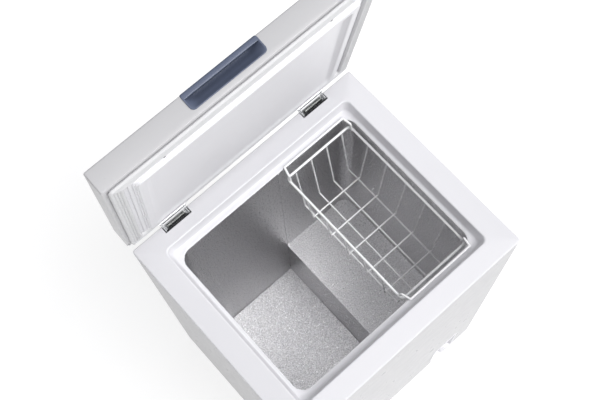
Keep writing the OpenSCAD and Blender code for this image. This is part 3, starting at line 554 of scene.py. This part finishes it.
def build_rim():
    """The rim collar: an outer skirt, a flat top, a faint bead, a leaning wall and a ledge."""
    profile = [
        (273, 233, CORNER, -6), (273, 233, CORNER, -2.6), (272.6, 232.6, CORNER - 0.4, -1.2),
        (271.7, 231.7, CORNER - 1.3, -0.3), (270.3, 230.3, CORNER - 2.7, 0),
        (232.6, 196.6, 15, 0), (231, 195, 14, 0.35), (229.4, 193.4, 13, 0.45),
        (228, 192, 12.5, 0.15), (227, 191, 12, -0.6), (226.3, 190.3, 12, -2.2),
        (221.6, 186.6, 12, -18.5), (220.6, 185.6, 12, -20.6), (218.8, 183.8, 12, -21.8),
        (216, 176.5, 20, -22), (214.2, 173.2, 23.5, -22.3), (213.2, 172.2, 24, -23.2),
        (213.2, 172.2, 24, -25.2),
        (222, 187, 14, -25.2), (225, 189.5, 14, -24), (229.5, 193.5, 13, -4.5),
        (232, 196, 13, -3), (270.3, 230.3, CORNER - 2.7, -3), (271.2, 231.2, CORNER - 1.8, -6),
    ]
    rings = [level_ring(x, y, r, RIM + z) for x, y, r, z in profile]
    collar = piece("rim", Shape().loft(rings, closed=True), RIM_WHITE, "cabinet",
                   replaces=["rim_collar"])
    notches, pockets = Shape(), Shape()
    for side in (-1, 1):
        cx = side * HINGE_X
        y0, y1 = BACK - NOTCH_D, BACK + 5
        half = NOTCH_W / 2
        notches.block((cx - half, y0, RIM - NOTCH_H), (cx + half, y1, RIM + 3))
        cy, depth = (BACK - 1 + y0) / 2, BACK - 1 - y0
        outer = [(x, y) for x, y in rounded(2 * half + 3, depth + 3, 2, cx, cy, 4)]
        inner = [(x, y) for x, y in rounded(2 * half - 0.2, depth - 0.2, 1.5, cx, cy, 4)]
        low, top = RIM - NOTCH_H - 2, RIM - 2.9
        pockets.loft([
            [(x, y, low) for x, y in outer], [(x, y, top) for x, y in outer],
            [(x, y, top) for x, y in inner], [(x, y, low + 2) for x, y in inner],
        ], True, True)
    cut(collar, notches)
    bevel(collar, 0.5, 2, 55)
    piece("hinge_pockets", pockets, RIM_WHITE, "cabinet")


def build_tub():
    """The folded metal tub: walls, deep floor, step wall and step top, with a lapped seam."""
    outline = rounded(TUB_W, TUB_D, TUB_R, steps=10)
    per_corner = 11
    half_d = TUB_D / 2
    left = [(STEP_X, half_d)] + outline[per_corner:3 * per_corner] + [(STEP_X, -half_d)]
    right = [(STEP_X, -half_d)] + outline[3 * per_corner:] + outline[:per_corner] + [(STEP_X, half_d)]
    top = LEDGE - 1
    tub = Shape()
    for line, low in ((left, TUB_FLOOR), (right, STEP_Z)):
        n = len(line)
        verts = [(x, y, top) for x, y in line] + [(x, y, low) for x, y in line]
        walls = [[i, i + 1, n + i + 1, n + i] for i in range(n - 1)]
        floor = [n + i for i in range(n)]
        tub.add(verts, walls + [floor])
    tub.add([(STEP_X, half_d, TUB_FLOOR), (STEP_X, -half_d, TUB_FLOOR),
             (STEP_X, -half_d, STEP_Z), (STEP_X, half_d, STEP_Z)], [[0, 1, 2, 3]])
    obj = piece("tub", tub, STUCCO, "cabinet", replaces=["tub_walls", "tub_base"], angle=45)
    bm = bmesh.new()
    bm.from_mesh(obj.data)
    bmesh.ops.recalc_face_normals(bm, faces=bm.faces)
    if sum(f.normal.z for f in bm.faces if abs(f.normal.z) > 0.9) < 0:
        bmesh.ops.reverse_faces(bm, faces=bm.faces)
    bm.to_mesh(obj.data)
    bm.free()
    bevel(obj, 2.2, 4, 50)
    solid = obj.modifiers.new("sheet", "SOLIDIFY")
    solid.thickness = TUB_SHEET * MM
    solid.offset = -1
    settle(obj, 45)

    def at_drain(x, y, z):
        """A point measured from the middle of the drain, at the tub's floor."""
        return (DRAIN[0] + x, DRAIN[1] + y, TUB_FLOOR + z)

    cut(obj, Shape().turned([(DRAIN_R, -4), (DRAIN_R, 4)], 32, at_drain), angle=45)
    lap = Shape()
    lap.block((STEP_X + 1, half_d - 0.9, STEP_Z + 2), (STEP_X + 5, half_d + 0.2, LEDGE - 2))
    bevel(piece("tub_seam", lap, STUCCO, "cabinet"), 0.4, 2)


# ---- Lid ----


def dish_z(y):
    """The dished middle of the lid's liner is deeper towards the front."""
    t = (y - FRONT) / LID_D
    return RIM + 6.5 - 8 * t


def build_lid():
    """The painted skin, the stepped lining with its dish, the foam and the ribbed gasket."""
    skin = [
        (10.2, 10.2, 3, 12), (10.6, 10.6, 3, 9.6), (10.2, 10.2, 3, 8.6), (9.2, 9.2, 3, 8.3),
        (3.5, 3.5, 2, 9.4), (1.2, 1.2, 2, 9.8), (0.4, 0.4, 2.3, 10.4), (0, 0, 2.6, 11.6),
        (0, 0, 2.6, 47.4), (0.25, 0.25, 2.6, 48.6), (0.8, 0.8, 2.6, 49.4), (1.6, 1.6, 2.6, 49.9),
        (2.8, 2.8, 2.8, 50),
    ]
    inner = [(4.8, 4.8, 3, 49), (2.0, 2.0, 2.5, 48.4), (1, 1, 2, 46.5), (1, 1, 2, 13), (7, 7, 2.4, 12)]
    rings = [lid_ring(ix, iy, r, RIM + z) for ix, iy, r, z in skin]
    under = [lid_ring(ix, iy, r, RIM + z) for ix, iy, r, z in inner]
    shape = Shape()
    n = len(rings[0])
    shape.loft(rings, cap_end=True)
    shape.loft(under, cap_start=True)
    start = len(rings) * n + (len(under) - 1) * n
    shape.faces += [[i, start + i, start + (i + 1) % n, (i + 1) % n] for i in range(n)]
    obj = piece("lid_shell", shape, LID_WHITE_LIT, "lid", at_open_lid,
                replaces=["lid_skin"])
    outline = rounded(HANDLE_W - 1.2, HANDLE_H + 10, 7, HANDLE_X, HANDLE_Z + 5.6)
    pocket = Shape().loft([[(x, y, z) for x, z in outline] for y in (FRONT - 4, FRONT + HANDLE_DEPTH + 0.1)],
                          True, True)
    cut(obj, pocket, at_open_lid)

    liner = [
        (10.9, 10.9, 3, 11), (11.1, 11.1, 3, 7.6), (11.8, 11.8, 3, 7), (37.5, 36.6, 4, 7),
        (38.4, 37.4, 5, 6.7), (39.2, 38.2, 5, 4.4), (45.4, 44.4, 6, 3.9), (46.0, 45.0, 7, 1.6),
        (48.6, 47.4, 8, 1.2), (49.2, 48.0, 9, -1.2), (51.2, 49.6, 9, -1.6), (51.8, 50.2, 9, -3.4),
        (54.4, 52.2, 9, -4), (63.5, 62.5, 8, -4), (65.2, 64.2, 8, -3.6), (66.6, 65.8, 8, -2.4),
    ]
    rings = [lid_ring(ix, iy, r, RIM + z) for ix, iy, r, z in liner]
    for inset, blend in ((73.5, 0.82), (75.6, 0.95), (78.5, 1.0)):
        rings.append(lid_ring(inset, inset, 9, lambda y, b=blend: (RIM - 2.4) * (1 - b) + dish_z(y) * b))
    for inset in (84, 105, 150):
        rings.append(lid_ring(inset, inset, 9, lambda y, i=inset: dish_z(y) - (i - 78.5) * 0.02))
    piece("lid_lining", Shape().loft(rings, cap_end=True), LINER, "lid", at_open_lid,
          replaces=["lid_liner"])

    core = [
        (5.6, 5.6, 4, 48.4), (1.8, 1.8, 3, 45), (1.8, 1.8, 3, 16), (7, 7, 3, 13), (13, 13, 3, 12.6),
        (13, 13, 3, 9.4), (42, 41, 6, 9.4), (58, 54, 8, -1.2), (62, 61, 8, -1.2),
    ]
    rings = [lid_ring(ix, iy, r, RIM + z) for ix, iy, r, z in core]
    rings.append(lid_ring(72, 72, 8, lambda y: dish_z(y) + 2.5))
    foam_core = piece("lid_core", Shape().loft(rings, True, True), FOAM, "lid", at_open_lid,
                      replaces=["lid_foam"])
    cut(foam_core, pocket, at_open_lid)

    ribs = [
        (8.2, 6.8), (8.5, 3.6), (9.6, 2.0), (11.6, 1.6), (13.6, 2.2), (15.6, 3.6), (17.2, 2.2), (18.8, 1.9),
        (20.2, 3.4), (21.6, 1.6), (23.0, 1.3), (24.4, 2.9), (26.0, 1.0), (28.2, 0.7),
        (30.0, 1.3), (31.4, 3.2), (31.9, 6.8),
    ]
    rings = [lid_ring(i, i, 8 - i / 8, RIM + z) for i, z in ribs]
    piece("lid_seal", Shape().loft(rings, closed=True), SEAL, "lid", at_open_lid, angle=60,
          replaces=["lid_gasket"])


def build_handle():
    """One moulding, built from upright sections: a rail along the top, and under it a spoon-like scoop."""
    half, depth, face = HANDLE_W / 2 - 0.3, HANDLE_DEPTH, FRONT - 1.5
    bottom, top = HANDLE_Z - HANDLE_H / 2, HANDLE_Z + HANDLE_H / 2
    rail_low = top - 10.5
    scoop, ramp_start, ramp = 16.5, 2.2, 21

    def corner(e, r):
        """How far a rounded corner of radius r cuts in at a distance e from the end."""
        return r - math.sqrt(r * r - (r - min(e, r)) ** 2)

    def section(x, e):
        """The upright section at x, a distance e from the nearer end."""
        low, high = bottom + corner(e, 7.5), top - corner(e, 2.5)
        t = min(max((e - ramp_start) / ramp, 0), 1)
        dish = math.sin(math.pi / 2 * t)
        deep = scoop * dish
        start = low + 1.4
        pts = [(face + 1.0, low), (face + 0.3, low + 0.3), (face, low + 0.9), (face + 0.1 * dish, start)]
        for k in range(1, 13):
            u = k / 12
            pts.append((face + deep * (1 - (1 - u) ** 1.5), start + u * (rail_low - start)))
        pts += [(face + deep, rail_low + 2.5 * dish), (face + deep * 0.5, rail_low + 2.8 * dish),
                (face + 5.5 * dish, rail_low + 1.5 * dish), (face + 4.2 * dish, rail_low + 0.2 * dish),
                (face + 1.2 * dish, rail_low + 0.1), (face + 0.3 * dish, rail_low + 0.5),
                (face, rail_low + 1.4), (face - 0.2 * dish, (rail_low + high) / 2), (face, high - 4.4)]
        for k in range(1, 7):
            a = math.radians(15 * k)
            pts.append((face + 4.2 * (1 - math.cos(a)), high - 4.2 * (1 - math.sin(a))))
        pts += [(FRONT + depth, high), (FRONT + depth, low)]
        return [(x, y, z) for y, z in pts]

    near = [0, 0.25, 0.7, 1.4, 2.2, 2.6, 3.4, 4.5, 6, 8, 10, 12.5, 15, 18, 21, 23.5]
    left = [section(HANDLE_X - half + e, e) for e in near]
    right = [section(HANDLE_X + half - e, e) for e in reversed(near)]
    shape = Shape().loft(left + right, cap_start=True, cap_end=True)
    piece("handle", shape, SLATE, "lid", at_open_lid, angle=50, replaces=["lid_handle"])


def build_lid_screws():
    """Two pan-head screws in the wide step of the lining's front side."""
    shape = Shape()
    seat, head = RIM + 4.1, [(1.5, -8), (1.5, 0), (2.5, 0.05), (2.45, 0.5), (2.0, 1.1), (0.8, 1.35)]
    for cx in (-165, 165):
        shape.turned(head, 24, lambda x, y, z, cx=cx: (cx + x, FRONT + 41.3 + y, seat - z))
    piece("lid_screws", shape, DARK, "lid", at_open_lid, replaces=["lid_liner_screws"])


# ---- Hinges ----


def build_springs():
    """Close-wound coil springs lying in the pockets, in front of the pins."""
    wire, mean, pitch, turns, steps = 0.95, 3.6, 1.93, 22, 16
    for side, name in ((-1, "left"), (1, "right")):
        points = []
        for k in range(turns * steps + 1):
            a = 2 * math.pi * k / steps
            x = side * HINGE_X + (k / steps - turns / 2) * pitch
            points.append((x, SPRING_Y + mean * math.sin(a), SPRING_Z + mean * math.cos(a)))
        piece(f"spring_{name}", Shape().tube(points, wire, 8), SPRING, "cabinet",
              replaces=[f"hinge_spring_{name}"], angle=60)


# ---- Basket ----


def build_basket():
    """Welded wire: a frame, four long and five cross wires with bent-up ends, and two hangers."""
    cx, cy = BASKET
    hx, hy = BASKET_W / 2, BASKET_L / 2
    frame_r, hanger_r, mesh_r = 2.65, 2.35, 1.85
    long_pitch, cross_pitch = 40, 53.5
    shape = Shape()
    frame_line = [(cx + x, cy + y, BASKET_RAIL) for x, y in rounded(BASKET_W, BASKET_L, 8, steps=6)]
    shape.tube(frame_line, frame_r, 14, closed=True)
    for k in range(4):
        x = cx + (k - 1.5) * long_pitch
        line = [(x, cy - hy, BASKET_RAIL + 0.6), (x, cy - hy + 17.4, BASKET_FLOOR),
                (x, cy + hy - 17.4, BASKET_FLOOR), (x, cy + hy, BASKET_RAIL + 0.6)]
        shape.tube(filleted(line, 7), mesh_r, 12)
    for k in range(5):
        y = cy + (k - 2) * cross_pitch
        low = BASKET_FLOOR + 3.1
        line = [(cx - hx, y, BASKET_RAIL + 0.6), (cx - hx + 10.5, y, low),
                (cx + hx - 10.5, y, low), (cx + hx, y, BASKET_RAIL + 0.6)]
        shape.tube(filleted(line, 7), mesh_r, 12)
    bar_z = LEDGE + 2.8
    for side in (-1, 1):
        near, far = cy + side * (hy - 9), cy + side * (TUB_D / 2 + 6)
        line = [(cx - hx + 2, near, BASKET_RAIL), (cx - hx + 2, near, bar_z), (cx - hx + 2, far, bar_z),
                (cx + hx - 2, far, bar_z), (cx + hx - 2, near, bar_z), (cx + hx - 2, near, BASKET_RAIL)]
        shape.tube(filleted(line, 5), hanger_r, 14)
    piece("basket", shape, WIRE, "basket", angle=60,
          replaces=["basket_frame", "basket_long_wires", "basket_cross_wires"])


# ---- Controls ----


def front_ring(w, h, r, depth, cx=PANEL_X, cz=PANEL_Z):
    """A rounded rectangle on the cabinet's front, depth behind its face."""
    return [(x, FRONT + depth, z) for x, z in rounded(w, h, r, cx, cz)]


def build_controls():
    """The recessed panel, seven plain bars of growing thickness round the dial, and the knob."""
    w, h, deep = PANEL_W, PANEL_H, PANEL_DEPTH
    rings = [
        front_ring(w, h, 9, 1.2), front_ring(w, h, 9, -0.3), front_ring(w - 0.8, h - 0.8, 8.6, -0.9),
        front_ring(w - 2.2, h - 2.2, 8, -1.2), front_ring(w - 9, h - 9, 5, -1.2),
        front_ring(w - 10.6, h - 10.6, 4.4, -0.8), front_ring(w - 11.6, h - 11.6, 4, 0.4),
        front_ring(w - 13, h - 13, 3.6, deep - 1.4), front_ring(w - 14, h - 14, 3.2, deep - 0.4),
        front_ring(w - 16, h - 16, 2.4, deep),
    ]
    piece("panel", Shape().loft(rings, cap_end=True), RIM_WHITE, "cabinet",
          replaces=["control_panel"])

    marks = Shape()
    for k in range(7):
        a = math.radians(-135 + 45 * k)
        r0, half = KNOB_R + 3.5, 0.4 + 0.1 * k
        c, s = math.sin(a), math.cos(a)
        corners = []
        for r, side in ((r0, -1), (r0, 1), (r0 + 3.5, 1), (r0 + 3.5, -1)):
            corners.append((PANEL_X + r * c + side * half * s, KNOB_Z + r * s - side * half * c))
        marks.loft([[(x, FRONT + deep - d, z) for x, z in corners] for d in (-0.2, 0.15)], True, True)
    piece("dial_marks", marks, INK, "cabinet")

    knob = Shape()
    sides = 96
    rings = []
    for r, d, flute in ((11.5, 0.3, 0), (12.9, 0.3, 0), (12.9, 3.6, 0), (12.4, 4.4, 0),
                        (11.4, 4.8, 0.4), (10.3, 11.2, 0.4), (9.7, 12.0, 0.2), (8.4, 12.4, 0)):
        ring = []
        for k in range(sides):
            a = 2 * math.pi * k / sides
            rr = r + flute * math.cos(24 * a)
            ring.append((PANEL_X + rr * math.cos(a), FRONT + deep - 1 - d, KNOB_Z + rr * math.sin(a)))
        rings.append(ring)
    knob.loft(rings, True, True)
    piece("knob", knob, RIM_WHITE, "knob", replaces=["thermostat_knob"])
    pointer = Shape()
    pointer.block((PANEL_X - 0.8, FRONT + deep - 13.8, KNOB_Z + 1.5),
                  (PANEL_X + 0.8, FRONT + deep - 13.2, KNOB_Z + 8))
    bevel(piece("knob_pointer", pointer, INK, "knob"), 0.2, 2)


# ---- Studio ----


def build_camera():
    """The camera stands high at the front left, turned a little about its own axis."""
    azimuth, elevation, roll = math.radians(-36.62), math.radians(71.11), math.radians(-5.40)
    back = Vector((math.sin(azimuth) * math.cos(elevation),
                   -math.cos(azimuth) * math.cos(elevation), math.sin(elevation)))
    right = Vector((0, 0, 1)).cross(back).normalized()
    up = back.cross(right)
    c, s = math.cos(roll), math.sin(roll)
    right, up = right * c + up * s, up * c - right * s
    data = bpy.data.cameras.new("camera")
    data.sensor_width = 36
    data.lens = 61.86
    data.clip_start, data.clip_end = 0.05, 50
    cam = link(bpy.data.objects.new("camera", data))
    stand = at_cabinet((-348.3, -403.3, RIM + 1825.8))
    turn = Matrix((right, up, back)).transposed()
    cam.matrix_world = Matrix.Translation(stand) @ turn.to_4x4()
    bpy.context.scene.camera = cam


def build_floor():
    """A plain pale floor that glows a little, so that shadows on it stay light."""
    f = Finish("floor", (0.36, 0.36, 0.36), 0.7)
    f.mottle(0.6, 0.01)
    f.shader.inputs["Emission Color"].default_value = (1, 1, 1, 1)
    f.shader.inputs["Emission Strength"].default_value = 0.74
    mesh = bpy.data.meshes.new("floor")
    steps, radius, lift = 96, 9.0, -0.0005
    angles = [2 * math.pi * k / steps for k in range(steps)]
    mesh.from_pydata([(radius * math.cos(a), radius * math.sin(a), lift) for a in angles], [],
                     [list(range(steps))])
    mesh.materials.append(f.mat)
    link(bpy.data.objects.new("floor", mesh))


def build_sky():
    """A soft ceiling, brightest above and a little to the front right, before a plain pale backdrop."""
    world = bpy.data.worlds.new("studio")
    bpy.context.scene.world = world
    world.use_nodes = True
    tree = world.node_tree
    sky = tree.nodes["Background"]
    sky.inputs["Color"].default_value = (0.97, 0.975, 1.0, 1)
    coords = tree.nodes.new("ShaderNodeTexCoord")
    facing = tree.nodes.new("ShaderNodeVectorMath")
    facing.operation = "DOT_PRODUCT"
    facing.inputs[1].default_value = (0.22, -0.34, 0.91)
    fade = tree.nodes.new("ShaderNodeMapRange")
    fade.inputs["From Min"].default_value = 0.1
    fade.inputs["From Max"].default_value = 1.0
    fade.inputs["To Min"].default_value = 0.06
    fade.inputs["To Max"].default_value = 0.85
    seen = tree.nodes.new("ShaderNodeLightPath")
    brighter = tree.nodes.new("ShaderNodeMath")
    brighter.operation = "MAXIMUM"
    tree.links.new(coords.outputs["Generated"], facing.inputs[0])
    tree.links.new(facing.outputs["Value"], fade.inputs["Value"])
    tree.links.new(fade.outputs["Result"], brighter.inputs[0])
    tree.links.new(seen.outputs["Is Camera Ray"], brighter.inputs[1])
    tree.links.new(brighter.outputs["Value"], sky.inputs["Strength"])


def build_key():
    """One broad, soft light from above the front right."""
    data = bpy.data.lights.new("key", "SUN")
    data.energy = 2.25
    data.angle = math.radians(40)
    light = link(bpy.data.objects.new("key", data))
    shining = Vector((-0.28, 0.54, -0.79))
    light.rotation_mode = "QUATERNION"
    light.rotation_quaternion = shining.to_track_quat("-Z", "Y")


def build_studio():
    """The floor, the sky and the key light."""
    build_floor()
    build_sky()
    build_key()
    bpy.context.scene.view_settings.view_transform = "Standard"


build_camera()
build_studio()
dress_carried_nodes()
build_rim()
build_tub()
build_lid()
build_handle()
build_lid_screws()
build_springs()
build_basket()
build_controls()
